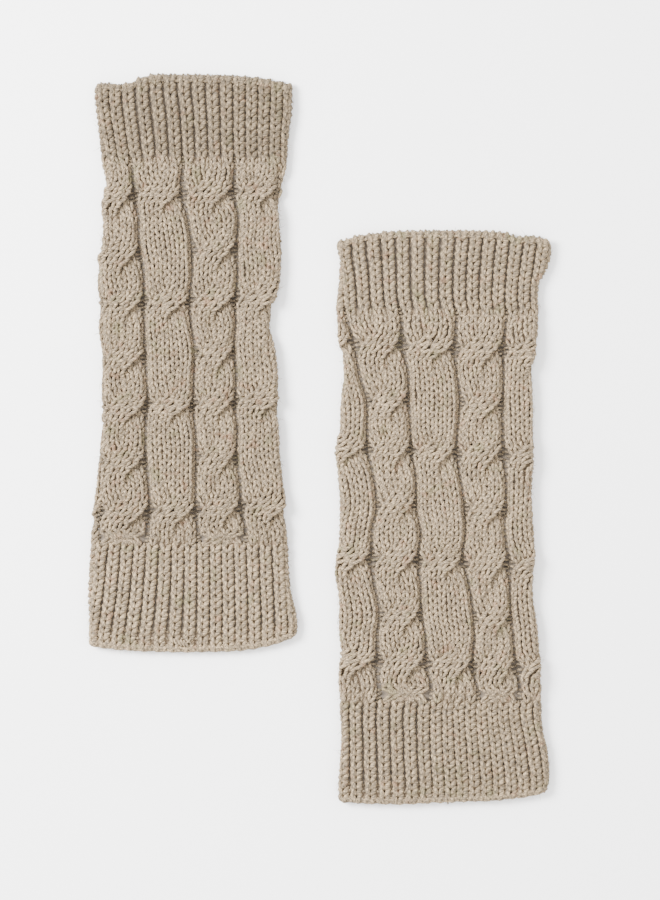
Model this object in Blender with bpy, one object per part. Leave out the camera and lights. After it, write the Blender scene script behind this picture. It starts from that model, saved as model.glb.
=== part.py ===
# A pair of long cable-knit leg warmers, laid flat side by side, mouth ends to +Y.
# Each one is a knitted tube in three stretches: ribbed top cuff, cabled leg, ribbed bottom cuff.
import math
from collections import namedtuple

import bpy

# All sizes are in millimetres, and MM turns them into metres.
MM = 0.001

# Knit: eight cable columns go round each tube, and each column carries on as four ribs in a cuff.
COLUMNS_ROUND = 8
RIBS_PER_COLUMN = 4
ROW = 4.62
CROSSING_REACH = 1.3

# Cloth: wall thickness behind the raised knit, and height of the flattened tube.
WALL = 3.0
CUFF_DEPTH = 8.2
LEG_DEPTH = 9.0
DEPTH_BLEND = 12.0
SEAM_GAP = 0.3
RIM_ROUND = 0.8
RIM_STEP = 1.2
HEM_ROWS = 9.0

# Raised knit, measured out from the tube's mean surface.
GUTTER_FLOOR = -1.3
GUTTER_WIDTH = 0.13
COLUMN_CROWN = 1.0
COLUMN_ROUND = 0.4
STRAND_SHIFT = 0.25
STRAND_EDGE = 0.55
CROSSING_RISE = 2.0
CROSSING_DIP = 1.2
RIB_FLOOR = -1.0
RIB_CROWN = 0.9
EDGE_RELIEF = 0.45
SIDE_RELIEF = 0.3

# The two warmers' own axes, from the middle of the pair, and the station 0 of each.
LEFT_AXIS = -87.8
LEFT_TOP = 253.7
RIGHT_AXIS = 82.6
RIGHT_TOP = 144.7

KNIT_COLOUR = (0.432, 0.359, 0.279, 1.0)

# station: distance down from the top; middle: offset from the axis; width: across the flat tube
Outline = namedtuple("Outline", "station middle width")
# x of the gutters between columns, from the axis, by their number
Gutters = namedtuple("Gutters", "station first second third fourth")
# Shape of an open end: how far the corners lie back from the middle, front layer and back layer
Mouth = namedtuple("Mouth", "middle_out left_back right_back front_power back_power back_peek")
Warmer = namedtuple(
    "Warmer",
    "name axis top first_seam second_seam top_corner bottom_corner "
    "outline gutters crossings rope_parity top_mouth bottom_mouth dense_from dense_to",
)

LEFT = Warmer(
    name="left",
    axis=LEFT_AXIS,
    top=LEFT_TOP,
    first_seam=58.3,
    second_seam=324.1,
    top_corner=9.0,
    bottom_corner=393.0,
    outline=(
        Outline(9.0, 0.3, 138.4),
        Outline(18.7, 0.3, 138.1),
        Outline(27.1, 0.7, 137.4),
        Outline(43.7, 0.4, 132.6),
        Outline(60.4, 0.7, 129.1),
        Outline(77.0, 0.7, 122.1),
        Outline(93.7, -1.2, 122.5),
        Outline(110.3, -0.4, 124.2),
        Outline(127.0, -1.7, 128.4),
        Outline(143.7, -3.5, 127.7),
        Outline(160.3, -5.2, 121.4),
        Outline(177.0, -6.6, 118.7),
        Outline(193.6, -3.5, 122.1),
        Outline(210.3, -2.4, 124.2),
        Outline(243.6, -2.4, 124.2),
        Outline(260.3, -2.4, 127.0),
        Outline(293.6, -2.4, 131.2),
        Outline(310.2, -3.1, 133.9),
        Outline(326.9, -2.8, 137.4),
        Outline(360.2, -2.8, 141.6),
        Outline(385.2, 0.0, 145.7),
        Outline(393.0, -1.0, 143.5),
    ),
    gutters=(
        Gutters(19.4, -50.0, -11.1, 27.8, None),
        Gutters(31.9, -48.6, -9.0, 27.8, None),
        Gutters(60.4, -44.4, -8.6, 28.2, None),
        Gutters(157.5, -34.7, -3.5, 28.5, None),
        Gutters(233.9, -32.6, 0.0, 28.1, None),
        Gutters(305.4, -31.2, 1.8, 33.7, None),
        Gutters(353.9, -34.7, 2.8, 37.5, None),
        Gutters(385.9, -38.9, 2.1, 38.2, None),
    ),
    crossings=(81.2, 118.0, 156.2, 190.9, 228.3, 264.4, 302.6),
    rope_parity=0,
    top_mouth=Mouth(5.5, 5.6, 5.6, 3.0, 2.2, 2.2),
    bottom_mouth=Mouth(8.5, 4.2, 10.4, 3.0, 3.0, 0.0),
    dense_from=-0.4,
    dense_to=4.6,
)

RIGHT = Warmer(
    name="right",
    axis=RIGHT_AXIS,
    top=RIGHT_TOP,
    first_seam=54.8,
    second_seam=324.8,
    top_corner=12.4,
    bottom_corner=393.5,
    outline=(
        Outline(12.4, 3.4, 148.0),
        Outline(16.0, 3.9, 149.4),
        Outline(22.2, 4.6, 147.8),
        Outline(30.5, 3.1, 144.4),
        Outline(38.9, 0.4, 140.2),
        Outline(55.5, -0.7, 140.9),
        Outline(76.3, -0.4, 136.0),
        Outline(97.2, -0.4, 130.5),
        Outline(122.1, -1.0, 133.2),
        Outline(138.8, -1.4, 133.9),
        Outline(155.5, -2.8, 135.3),
        Outline(188.8, -1.7, 133.2),
        Outline(222.1, -1.4, 135.3),
        Outline(238.7, -3.1, 136.0),
        Outline(255.4, -1.7, 134.6),
        Outline(280.4, 0.0, 138.1),
        Outline(297.0, 1.4, 136.7),
        Outline(313.7, 0.7, 139.5),
        Outline(330.3, 1.4, 140.9),
        Outline(347.0, 2.4, 140.2),
        Outline(363.7, 3.8, 144.4),
        Outline(384.5, 3.5, 147.8),
        Outline(393.5, 3.1, 145.7),
    ),
    gutters=(
        Gutters(16.7, -69.7, -30.2, 12.1, 49.6),
        Gutters(26.4, -68.4, -29.5, 10.8, 48.2),
        Gutters(47.2, -66.3, -28.8, 10.1, 46.2),
        Gutters(80.5, -61.1, -26.0, 11.6, 44.8),
        Gutters(152.7, -50.0, -19.8, 13.0, 44.1),
        Gutters(192.9, -45.4, -16.4, 16.4, 46.2),
        Gutters(229.0, -45.0, -14.7, 18.4, 47.4),
        Gutters(265.1, -42.9, -12.5, 21.2, 48.9),
        Gutters(299.8, -42.5, -9.6, 23.3, 52.4),
        Gutters(338.0, -43.4, -5.9, 26.0, 55.5),
        Gutters(360.2, -42.7, -5.4, 28.1, 60.7),
        Gutters(382.4, -42.0, -3.8, 29.5, 63.5),
    ),
    crossings=(80.5, 118.0, 152.0, 191.5, 226.5, 265.8, 299.8),
    rope_parity=1,
    top_mouth=Mouth(8.3, 8.3, 8.3, 4.2, 3.0, 1.6),
    bottom_mouth=Mouth(7.6, 2.8, 9.4, 2.0, 2.0, 0.0),
    dense_from=-0.3,
    dense_to=5.3,
)

# Where a column is sampled between one gutter (0) and the next (1), and a rib between its valleys.
COLUMN_SAMPLES = (0.0, 0.07, 0.17, 0.31, 0.44, 0.56, 0.69, 0.83, 0.93)
RIB_SAMPLES = (0.0, 0.22, 0.5, 0.78)
UNDERSIDE_POINTS = 7
CROSSING_RINGS = (-2.6, -1.6, -0.8, 0.0, 0.8, 1.6, 2.6)


def smooth(value):
    """An easing from 0 to 1 that is flat at both ends."""
    value = min(1.0, max(0.0, value))
    return value * value * (3.0 - 2.0 * value)


def along(table, field, station):
    """The table's column at this station, on a smooth curve through its rows."""
    rows = [(row.station, getattr(row, field)) for row in table]
    if station <= rows[0][0]:
        return rows[0][1]
    if station >= rows[-1][0]:
        return rows[-1][1]
    low = max(index for index, row in enumerate(rows) if row[0] <= station)
    before = rows[max(low - 1, 0)]
    start = rows[low]
    end = rows[low + 1]
    after = rows[min(low + 2, len(rows) - 1)]
    span = end[0] - start[0]
    start_slope = (end[1] - before[1]) / (end[0] - before[0]) * span
    end_slope = (after[1] - start[1]) / (after[0] - start[0]) * span
    part = (station - start[0]) / span
    square = part * part
    cube = square * part
    return (
        (2 * cube - 3 * square + 1) * start[1]
        + (cube - 2 * square + part) * start_slope
        + (3 * square - 2 * cube) * end[1]
        + (cube - square) * end_slope
    )


def tube_depth(warmer, station):
    """Height of the flattened tube, a little less in the cuffs than in the leg."""
    into_leg = min(station - warmer.first_seam, warmer.second_seam - station)
    return CUFF_DEPTH + (LEG_DEPTH - CUFF_DEPTH) * smooth(into_leg / DEPTH_BLEND + 0.5)


Section = namedtuple("Section", "middle straight radius girth places pitch")


def section_at(warmer, station):
    """The flattened tube at a station, with where each column gutter lies along its girth."""
    depth = tube_depth(warmer, station)
    radius = depth / 2
    middle = along(warmer.outline, "middle", station)
    half_width = along(warmer.outline, "width", station) / 2 - SIDE_RELIEF
    straight = half_width - radius
    girth = 4 * straight + 2 * math.pi * radius
    places = []
    for number, field in enumerate(("first", "second", "third", "fourth"), start=1):
        if getattr(warmer.gutters[0], field) is None:
            continue
        across = along(warmer.gutters, field, station) - middle
        past = min(1.0, max(0.0, (abs(across) - straight) / radius))
        arc = min(abs(across), straight) + radius * math.asin(past)
        places.append((number, math.copysign(arc, across)))
    used = places[-1][1] - places[0][1]
    left_over = COLUMNS_ROUND - (places[-1][0] - places[0][0])
    return Section(middle, straight, radius, girth, places, (girth - used) / left_over)


def girth_place(section, column):
    """Distance along the girth, from the middle of the front, of a column position."""
    places = section.places
    if column <= places[0][0]:
        return places[0][1] - (places[0][0] - column) * section.pitch
    if column >= places[-1][0]:
        return places[-1][1] + (column - places[-1][0]) * section.pitch
    low = int(math.floor(column)) - places[0][0]
    part = column - math.floor(column)
    return places[low][1] + part * (places[low + 1][1] - places[low][1])


def contour(section, place):
    """Point, outward direction and turn round the fold at a distance along the girth."""
    place = (place + section.girth / 2) % section.girth - section.girth / 2
    side = math.copysign(1.0, place)
    run = abs(place)
    if run <= section.straight:
        return (section.middle + place, 2 * section.radius), (0.0, 1.0), 0.0
    turn = (run - section.straight) / section.radius
    if turn < math.pi:
        out = (side * math.sin(turn), math.cos(turn))
        x = section.middle + side * section.straight + section.radius * out[0]
        return (x, section.radius * (1 + out[1])), out, turn
    back = run - section.straight - math.pi * section.radius
    return (section.middle + side * (section.straight - back), 0.0), (0.0, -1.0), math.pi


def mouth_shift(warmer, section, station, x, turn):
    """How far a point of a cuff moves along the tube, because the open ends are bowed."""
    if station < warmer.first_seam:
        mouth = warmer.top_mouth
        reach = (warmer.first_seam - station) / (warmer.first_seam - warmer.top_corner)
        outward = -1.0
    elif station > warmer.second_seam:
        mouth = warmer.bottom_mouth
        reach = (station - warmer.second_seam) / (warmer.bottom_corner - warmer.second_seam)
        outward = 1.0
    else:
        return 0.0
    across = (x - section.middle) / (section.straight + section.radius)
    under = turn / math.pi
    corner = mouth.left_back if across < 0 else mouth.right_back
    front = mouth.middle_out - corner * abs(across) ** mouth.front_power
    back = mouth.middle_out + mouth.back_peek - corner * abs(across) ** mouth.back_power
    return outward * reach * (front + (back - front) * under)


def strand_share(offset):
    """Height of a rounded strand, as a share of its crown, at an offset in half widths."""
    offset = abs(offset)
    if offset <= 1.0:
        return STRAND_EDGE + (1 - STRAND_EDGE) * math.sqrt(1 - offset * offset)
    return STRAND_EDGE * max(0.0, 1 - (offset - 1) / 0.5)


def leg_relief(warmer, station, column):
    """Height of the cabled knit over the tube's mean surface."""
    number = math.floor(column)
    place = column - number
    rope = number % 2 == warmer.rope_parity
    crossings = warmer.crossings if rope else warmer.crossings[::2]
    nearest = min(crossings, key=lambda crossing: abs(station - crossing))
    rows = (station - nearest) / ROW
    near = math.exp(-((rows / 2.4) ** 2))
    shift = STRAND_SHIFT * math.tanh(rows / CROSSING_REACH)
    half = STRAND_SHIFT + 0.12 * math.exp(-((rows / 0.9) ** 2))
    crown = COLUMN_CROWN - GUTTER_FLOOR
    over = (crown + CROSSING_RISE * near) * strand_share((place - 0.5 + shift) / half)
    under = (crown - CROSSING_DIP * near) * strand_share((place - 0.5 - shift) / half)
    shoulder = smooth(min(place, 1 - place) / GUTTER_WIDTH)
    strands = max(over, under) * shoulder
    panel = (crown + COLUMN_ROUND * math.sin(math.pi * place)) * shoulder
    share = 1.0 if rope else math.exp(-((rows / 3.4) ** 4))
    into_leg = min(station - warmer.first_seam, warmer.second_seam - station)
    height = GUTTER_FLOOR + panel + (strands - panel) * share
    return height * (0.6 + 0.4 * smooth(into_leg / (2 * ROW)))


def cuff_relief(warmer, station, column):
    """Height of the ribs over the tube's mean surface."""
    place = (column * RIBS_PER_COLUMN) % 1.0
    height = RIB_FLOOR + (RIB_CROWN - RIB_FLOOR) * smooth(min(place, 1 - place) / 0.36)
    to_end = min(station - warmer.top_corner, warmer.bottom_corner - station)
    return height * (EDGE_RELIEF + (1 - EDGE_RELIEF) * smooth(to_end / HEM_ROWS))


def outer_ring(warmer, station, columns, relief, inset):
    """One ring of the outside, raised by the knit on the front and plain where it rests."""
    section = section_at(warmer, station)
    points = []
    for column in columns:
        (x, z), out, turn = contour(section, girth_place(section, column))
        shown = 1.0 - smooth((turn / math.pi - 0.2) / 0.65)
        rise = relief(warmer, station, column) * shown - inset
        y = station + mouth_shift(warmer, section, station, x, turn)
        x += rise * out[0]
        z = max(0.0, z + rise * out[1])
        points.append((warmer.axis + x, warmer.top - y, z))
    return points


def inner_ring(warmer, station):
    """One ring of the plain inside, a flat slot as long as the tube is wide."""
    section = section_at(warmer, station)
    depth = 2 * section.radius
    fractions = (-1.0, -0.5, 0.0, 0.5, 1.0)
    corners = [(section.straight * part, depth - WALL, 0.0) for part in fractions]
    corners.append((section.straight + section.radius - WALL, section.radius, math.pi / 2))
    corners += [(section.straight * part, WALL, math.pi) for part in reversed(fractions)]
    corners.append((-section.straight - section.radius + WALL, section.radius, math.pi / 2))
    points = []
    for across, z, turn in corners:
        x = section.middle + across
        y = station + mouth_shift(warmer, section, station, x, turn)
        points.append((warmer.axis + x, warmer.top - y, z))
    return points


def ring_places(points):
    """How far round its ring each point is, from 0 to 1, starting at the middle of the front."""
    low_x = min(point[0] for point in points)
    high_x = max(point[0] for point in points)
    mean_z = (min(point[2] for point in points) + max(point[2] for point in points)) / 2
    places = []
    for x, _, z in points:
        across = (x - (low_x + high_x) / 2) / ((high_x - low_x) / 2)
        across = min(1.0, max(-1.0, across))
        place = across / 4 if z >= mean_z else 0.5 - across / 4
        places.append(place % 1.0)
    return places


def skin(rings, start, flip):
    """Triangles between successive rings of equal length, numbered from start."""
    count = len(rings[0])
    faces = []
    for ring in range(len(rings) - 1):
        for index in range(count):
            after = (index + 1) % count
            one = start + ring * count + index
            two = start + (ring + 1) * count + index
            three = start + (ring + 1) * count + after
            four = start + ring * count + after
            pair = [(one, two, four), (two, three, four)]
            faces += [tuple(reversed(face)) for face in pair] if flip else pair
    return faces


def rim(outer, outer_start, inner, inner_start, flip):
    """Triangles of the flat rim between an outer ring and an inner one of fewer points."""
    outer_places = ring_places(outer)
    inner_places = ring_places(inner)
    first = min(
        range(len(inner)),
        key=lambda index: abs((inner_places[index] - outer_places[0] + 0.5) % 1.0 - 0.5),
    )
    outer_left = len(outer)
    inner_left = len(inner)
    at_outer = 0
    at_inner = first
    faces = []
    while outer_left or inner_left:
        next_outer = (outer_places[(at_outer + 1) % len(outer)] - outer_places[0]) % 1.0
        next_inner = (inner_places[(at_inner + 1) % len(inner)] - outer_places[0]) % 1.0
        if outer_left == 1:
            next_outer = 1.0
        if inner_left == 1:
            next_inner = 1.0
        here_outer = outer_start + at_outer % len(outer)
        here_inner = inner_start + at_inner % len(inner)
        if inner_left == 0 or (outer_left and next_outer <= next_inner):
            at_outer += 1
            outer_left -= 1
            face = (here_outer, outer_start + at_outer % len(outer), here_inner)
        else:
            at_inner += 1
            inner_left -= 1
            face = (here_outer, inner_start + at_inner % len(inner), here_inner)
        faces.append(tuple(reversed(face)) if flip else face)
    return faces


def knit_material(name):
    material = bpy.data.materials.new(name)
    material.use_nodes = True
    shader = material.node_tree.nodes["Principled BSDF"]
    shader.inputs["Base Color"].default_value = KNIT_COLOUR
    shader.inputs["Roughness"].default_value = 0.95
    shader.inputs["Metallic"].default_value = 0.0
    material.diffuse_color = KNIT_COLOUR
    return material


def column_list(warmer, samples, per_column):
    """Column positions of a ring: closely spaced where the knit shows, a few on the underside."""
    first = math.floor(warmer.dense_from * per_column)
    last = math.ceil(warmer.dense_to * per_column)
    every = [(whole + sample) / per_column for whole in range(first, last) for sample in samples]
    columns = [place for place in every if warmer.dense_from <= place <= warmer.dense_to]
    start = columns[-1]
    step = (columns[0] + COLUMNS_ROUND - start) / (UNDERSIDE_POINTS + 1)
    return columns + [start + step * (index + 1) for index in range(UNDERSIDE_POINTS)]


def tube_node(name, warmer, stations, insets, columns, relief, inner_stations):
    """One stretch of the tube as a closed solid: knit outside, plain inside, and two rims."""
    outer = []
    for station, inset in zip(stations, insets):
        outer.append(outer_ring(warmer, station, columns, relief, inset))
    inner = [inner_ring(warmer, station) for station in inner_stations]
    vertices = [point for ring in outer for point in ring]
    inner_start = len(vertices)
    vertices += [point for ring in inner for point in ring]
    faces = skin(outer, 0, False)
    faces += skin(inner, inner_start, True)
    last_outer = (len(outer) - 1) * len(columns)
    last_inner = inner_start + (len(inner) - 1) * len(inner[0])
    faces += rim(outer[0], 0, inner[0], inner_start, False)
    faces += rim(outer[-1], last_outer, inner[-1], last_inner, True)
    return name, vertices, faces


def leg_stations(warmer):
    """Rings of the leg: close together at each crossing, with one between crossings."""
    start = warmer.first_seam + SEAM_GAP / 2
    end = warmer.second_seam - SEAM_GAP / 2
    stations = [start, start + 1.6 * ROW]
    for index, crossing in enumerate(warmer.crossings):
        stations += [crossing + rows * ROW for rows in CROSSING_RINGS]
        if index + 1 < len(warmer.crossings):
            stations.append((crossing + warmer.crossings[index + 1]) / 2)
    return stations + [end - 1.6 * ROW, end]


def evenly(start, end, count):
    return [start + (end - start) * index / (count - 1) for index in range(count)]


def warmer_nodes(warmer):
    """The three stretches of one leg warmer."""
    leg_columns = column_list(warmer, COLUMN_SAMPLES, 1)
    rib_columns = column_list(warmer, RIB_SAMPLES, RIBS_PER_COLUMN)
    top = warmer.top_corner
    bottom = warmer.bottom_corner
    top_end = warmer.first_seam - SEAM_GAP / 2
    bottom_start = warmer.second_seam + SEAM_GAP / 2
    top_stations = [top, top + RIM_STEP, top + HEM_ROWS, (top + top_end) / 2, top_end]
    bottom_stations = [bottom_start, (bottom + bottom_start) / 2]
    bottom_stations += [bottom - HEM_ROWS, bottom - RIM_STEP, bottom]
    rings = leg_stations(warmer)
    plain = [0.0] * len(rings)
    return [
        tube_node(
            warmer.name + "_top_cuff",
            warmer,
            top_stations,
            [RIM_ROUND, 0.0, 0.0, 0.0, 0.0],
            rib_columns,
            cuff_relief,
            evenly(top, top_end, 4),
        ),
        tube_node(
            warmer.name + "_leg",
            warmer,
            rings,
            plain,
            leg_columns,
            leg_relief,
            evenly(rings[0], rings[-1], 14),
        ),
        tube_node(
            warmer.name + "_bottom_cuff",
            warmer,
            bottom_stations,
            [0.0, 0.0, 0.0, 0.0, RIM_ROUND],
            rib_columns,
            cuff_relief,
            evenly(bottom_start, bottom, 4),
        ),
    ]


def add_node(collection, name, vertices, faces, centre):
    mesh = bpy.data.meshes.new(name)
    placed = [((x - centre[0]) * MM, (y - centre[1]) * MM, z * MM) for x, y, z in vertices]
    mesh.from_pydata(placed, [], faces)
    mesh.update()
    thing = bpy.data.objects.new(name, mesh)
    mesh.materials.append(knit_material(name + "_knit"))
    collection.objects.link(thing)


def main():
    for thing in list(bpy.data.objects):
        bpy.data.objects.remove(thing, do_unlink=True)
    collection = bpy.data.collections.new("Cable_knit_leg_warmers")
    bpy.context.scene.collection.children.link(collection)
    nodes = warmer_nodes(LEFT) + warmer_nodes(RIGHT)
    xs = [point[0] for _, vertices, _ in nodes for point in vertices]
    ys = [point[1] for _, vertices, _ in nodes for point in vertices]
    centre = ((min(xs) + max(xs)) / 2, (min(ys) + max(ys)) / 2)
    for name, vertices, faces in nodes:
        add_node(collection, name, vertices, faces, centre)


main()
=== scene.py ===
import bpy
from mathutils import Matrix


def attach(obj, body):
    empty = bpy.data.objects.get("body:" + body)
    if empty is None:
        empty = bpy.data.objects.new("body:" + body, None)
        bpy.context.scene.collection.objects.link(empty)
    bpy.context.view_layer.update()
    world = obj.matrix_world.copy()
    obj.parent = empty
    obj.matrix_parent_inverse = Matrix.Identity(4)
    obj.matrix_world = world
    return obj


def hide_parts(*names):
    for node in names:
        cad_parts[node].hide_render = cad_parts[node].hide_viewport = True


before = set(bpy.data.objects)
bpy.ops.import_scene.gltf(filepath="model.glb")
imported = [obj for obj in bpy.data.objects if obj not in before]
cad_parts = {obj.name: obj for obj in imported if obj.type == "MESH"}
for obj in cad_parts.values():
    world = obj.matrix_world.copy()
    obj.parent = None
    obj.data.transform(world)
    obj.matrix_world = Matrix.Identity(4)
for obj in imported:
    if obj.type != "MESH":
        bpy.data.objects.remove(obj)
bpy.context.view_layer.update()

import math

import bpy
import numpy as np

# Two cable-knit leg warmers laid flat. Lengths are in millimetres until meshFrom turns them into metres.
# A station is the distance down a warmer from its top. A column position counts the eight cable
# columns round the tube, with a gutter at every whole number.

# cable columns round the tube, wales in a column and in a strand of it, and ribs for each column
columns, wales, strandWales, ribsPerColumn = 8, 6, 3, 4
millimetre = 0.001

leftWarmer = {
    "name": "left", "axis": -87.74, "top": 255.7, "seams": (58.3, 327.2), "corners": (9.0, 393.0),
    # station, offset of the middle, width
    "outline": [
        (9.0, 0.3, 138.4), (18.7, 0.3, 138.1), (27.1, 0.7, 137.4), (43.7, 0.4, 132.6), (60.4, 0.7, 129.1),
        (77.0, 0.7, 122.1), (93.7, -1.2, 122.5), (110.3, -0.4, 124.2), (127.0, -1.7, 128.4),
        (143.7, -3.5, 127.7), (160.3, -5.2, 121.4), (177.0, -6.6, 118.7), (193.6, -3.5, 122.1),
        (210.3, -2.4, 124.2), (243.6, -2.4, 124.2), (260.3, -2.4, 127.0), (293.6, -2.4, 131.2),
        (310.2, -3.1, 133.9), (326.9, -2.8, 137.4), (360.2, -2.8, 141.6), (385.2, 0.0, 145.7),
        (393.0, -1.0, 143.5)],
    # station, then the gutters' places across
    "gutters": [
        (19.4, -50.0, -11.1, 27.8), (31.9, -48.6, -9.0, 27.8), (61.3, -44.2, -7.8, 28.2),
        (81.2, -42.3, -9.5, 27.4), (99.6, -39.5, -5.0, 30.6), (118.0, -38.7, -2.0, 29.3),
        (137.1, -35.7, -1.7, 30.0), (156.2, -35.3, -3.5, 28.3), (173.6, -34.9, -2.4, 28.6),
        (190.9, -34.7, 0.3, 27.4), (209.6, -33.3, -0.4, 28.9), (228.3, -32.7, -1.0, 28.0),
        (246.3, -34.0, 0.6, 29.7), (264.4, -34.0, 1.5, 28.8), (283.5, -32.4, 0.6, 31.4),
        (302.6, -31.3, 0.8, 32.2), (318.1, -32.2, 2.2, 35.7), (353.9, -34.7, 2.8, 37.5),
        (385.9, -38.9, 2.1, 38.2)],
    "crossings": (81.2, 118.0, 156.2, 190.9, 228.3, 264.4, 302.6), "ropeParity": 0,
    # open ends: middle out, left back, right back, front power, back power, peek of the back layer
    "topMouth": (7.0, 7.1, 7.1, 3.0, 2.4, 1.5), "bottomMouth": (8.5, 4.2, 10.4, 3.0, 3.0, 0.0),
    # small dips of the rims: which end, place across, half width, depth
    "dips": [(0, -0.7, 0.14, 4.2), (0, -0.4, 0.14, -0.8)],
    # rows by which each crossing comes late, how much more in each column, and the column without more
    "late": (0.6, 1.15, 0.5, 0.9, 0.35, 0.7, 0.15), "lean": -0.3, "leanFrom": 1.5,
    # tone of the top cuff, the bottom cuff and the leg, lowered as painted shade where less light falls
    "tones": (-2.75, -0.5, -1.0),
    # loose ends of the yarn: from x, y, z to x, y, z, and the radius
    "ends": [(-101.4, -137.2, 8.7, -98.3, -141.3, 9.0, 1.0), (-99.0, -137.6, 8.9, -95.9, -141.7, 9.2, 1.05),
             (-96.6, -138.0, 9.0, -93.5, -142.0, 9.1, 1.05), (-94.3, -138.4, 8.9, -91.1, -142.3, 8.8, 1.0),
             (-92.4, -137.6, 9.2, -89.0, -140.1, 9.2, 0.8), (-92.0, -139.9, 9.4, -89.4, -137.4, 9.2, 0.75)]}
rightWarmer = {
    "name": "right", "axis": 82.66, "top": 146.7, "seams": (54.8, 327.9), "corners": (12.4, 393.5),
    "outline": [
        (12.4, 3.4, 148.0), (16.0, 3.9, 149.4), (22.2, 4.6, 147.8), (30.5, 3.1, 144.4), (38.9, 0.4, 140.2),
        (55.5, -0.7, 140.9), (76.3, -0.4, 136.0), (97.2, -0.4, 130.5), (122.1, -1.0, 133.2),
        (138.8, -1.4, 133.9), (155.5, -2.8, 135.3), (188.8, -1.7, 133.2), (222.1, -1.4, 135.3),
        (238.7, -3.1, 136.0), (255.4, -1.7, 134.6), (280.4, 0.0, 138.1), (297.0, 1.4, 136.7),
        (313.7, 0.7, 139.5), (330.3, 1.4, 140.9), (347.0, 2.4, 140.2), (363.7, 3.8, 144.4),
        (384.5, 3.5, 147.8), (393.5, 3.1, 145.7)],
    "gutters": [
        (16.7, -69.7, -30.2, 12.1, 49.6), (26.4, -68.4, -29.5, 10.8, 48.2),
        (47.2, -66.3, -28.8, 10.1, 46.2), (57.8, -66.0, -26.8, 12.0, 46.5),
        (80.5, -59.0, -26.0, 10.4, 44.3), (99.2, -56.2, -21.9, 11.9, 44.5),
        (118.0, -50.6, -22.0, 14.3, 43.7), (135.0, -50.2, -20.5, 12.8, 43.7),
        (152.0, -49.9, -19.9, 11.5, 44.0), (171.8, -45.9, -16.6, 14.2, 46.0),
        (191.5, -43.5, -16.7, 17.3, 45.5), (209.0, -46.8, -13.2, 18.0, 45.2),
        (226.5, -47.4, -15.1, 15.8, 47.0), (246.2, -45.5, -13.3, 20.6, 48.5),
        (265.8, -41.6, -13.2, 23.5, 48.8), (282.8, -43.3, -9.6, 24.5, 50.8),
        (299.8, -43.4, -9.5, 22.8, 51.9), (318.8, -42.6, -5.2, 25.8, 56.0),
        (338.0, -43.4, -5.6, 26.2, 56.5), (360.2, -42.7, -5.4, 28.1, 60.7),
        (382.4, -42.0, -3.8, 29.5, 63.5)],
    "crossings": (80.5, 118.0, 152.0, 191.5, 226.5, 265.8, 299.8), "ropeParity": 1,
    "topMouth": (11.6, 8.5, 8.5, 4.2, 3.2, 0.6), "bottomMouth": (6.0, 2.8, 9.4, 2.0, 2.0, 0.0),
    "dips": [(0, 0.69, 0.07, 2.9), (0, 0.88, 0.1, -1.0), (1, 0.15, 0.45, 2.6)],
    "late": (0.2, 0.3, 0.4, 0.2, 0.8, 0.65, 0.3), "lean": 0.33, "leanFrom": 2.0,
    "tones": (-0.9, -0.9, -0.1),
    "ends": [(91.2, -246.0, 2.6, 89.3, -252.6, 1.1, 0.8)]}

# The knitted tube. Heights of the raised knit are measured out from the tube's mean surface.
knit = {
    "tableFrom": -5.0, "tableTo": 420.0, "tableStep": 0.5,  # stations of the tube's table
    "cuffDepth": 8.2, "legDepth": 9.0, "depthBlend": 12.0, "sideRelief": 0.3, "gutterAside": 1.1,
    "fadeFrom": 0.2, "fadeWidth": 0.65,  # the relief's fading round a fold, in shares of the half turn
    "frontTurn": 0.72,  # stitches turned by less than this share of it are made finer
    "crossingRows": (5, 13, 21, 29, 37, 45, 53), "legRows": 58, "topRows": 11, "bottomRows": 15,
    "rowHeight": 4.62, "topInset": 0.4, "bottomInset": 1.2, "hemRows": 2.8,
    "slots": (0.088, 0.238, 0.411, 0.589, 0.762, 0.912),  # places of the wales across a column
    "seamSlots": (0.125, 0.27, 0.42, 0.58, 0.73, 0.875), "seamRows": 2.4, "seamStart": 0.05,
    "gutterFloor": -3.0, "gutterFlat": 0.025, "gutterWidth": 0.1,
    "columnCrown": 1.2, "columnRound": 0.5, "roundMean": 0.6,
    "ribFloor": -2.2, "ribCrown": 0.9, "ribSide": 0.4, "ribEnd": 0.55, "ribEndRows": 2.5}

# A crossing of two strands, in rows and millimetres. Of two values, the first is for the long cable and
# the second for the rope.
cable = {
    "rise": (2.4, 3.1), "riseRows": 2.1, "overReach": (1.05, 1.4),
    "dip": 2.0, "dipLate": 0.1, "dipDownRows": 1.25, "dipUpRows": 2.1, "underReach": (1.7, 1.9), "lag": 0.5,
    "narrow": 0.045, "narrowLate": 0.3, "narrowRows": 1.8, "narrowLeft": 0.4, "narrowEdge": 0.3,
    "waver": 0.008, "waverSteps": (0.83, 2.1, 1.3), "uneven": 0.22, "unevenSteps": (0.57, 1.7, 2.3),
    "strandRound": 0.28}

# Yarn: its radii, and how far a stitch's two legs stand from the middle at the open end and at the point
yarn = {
    "legRadius": 1.24, "legOut": 2.1, "legIn": 0.3, "ribRadius": 1.68, "ribOut": 2.7, "ribIn": 0.5,
    "purlRadius": 1.15, "purlHalf": 2.0, "purlLean": 0.25, "purlUneven": 0.06, "sunk": 1.45,
    "flat": 0.92, "tip": 0.75, "sides": 6, "coarseSides": 4, "plyStart": 50.0,
    "wobble": 0.14, "wobbleAlong": 0.25, "wobbleUp": 0.8, "wobbleThick": 0.25, "jitter": 0.05,
    "rowStep": 0.1, "asideStep": 0.02, "stationStep": 0.5,  # small steps that directions are measured over
    "pressBelow": 0.4, "pressDepth": 0.36, "pressReach": 0.7}  # how yarn is pressed flat on the floor

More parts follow.
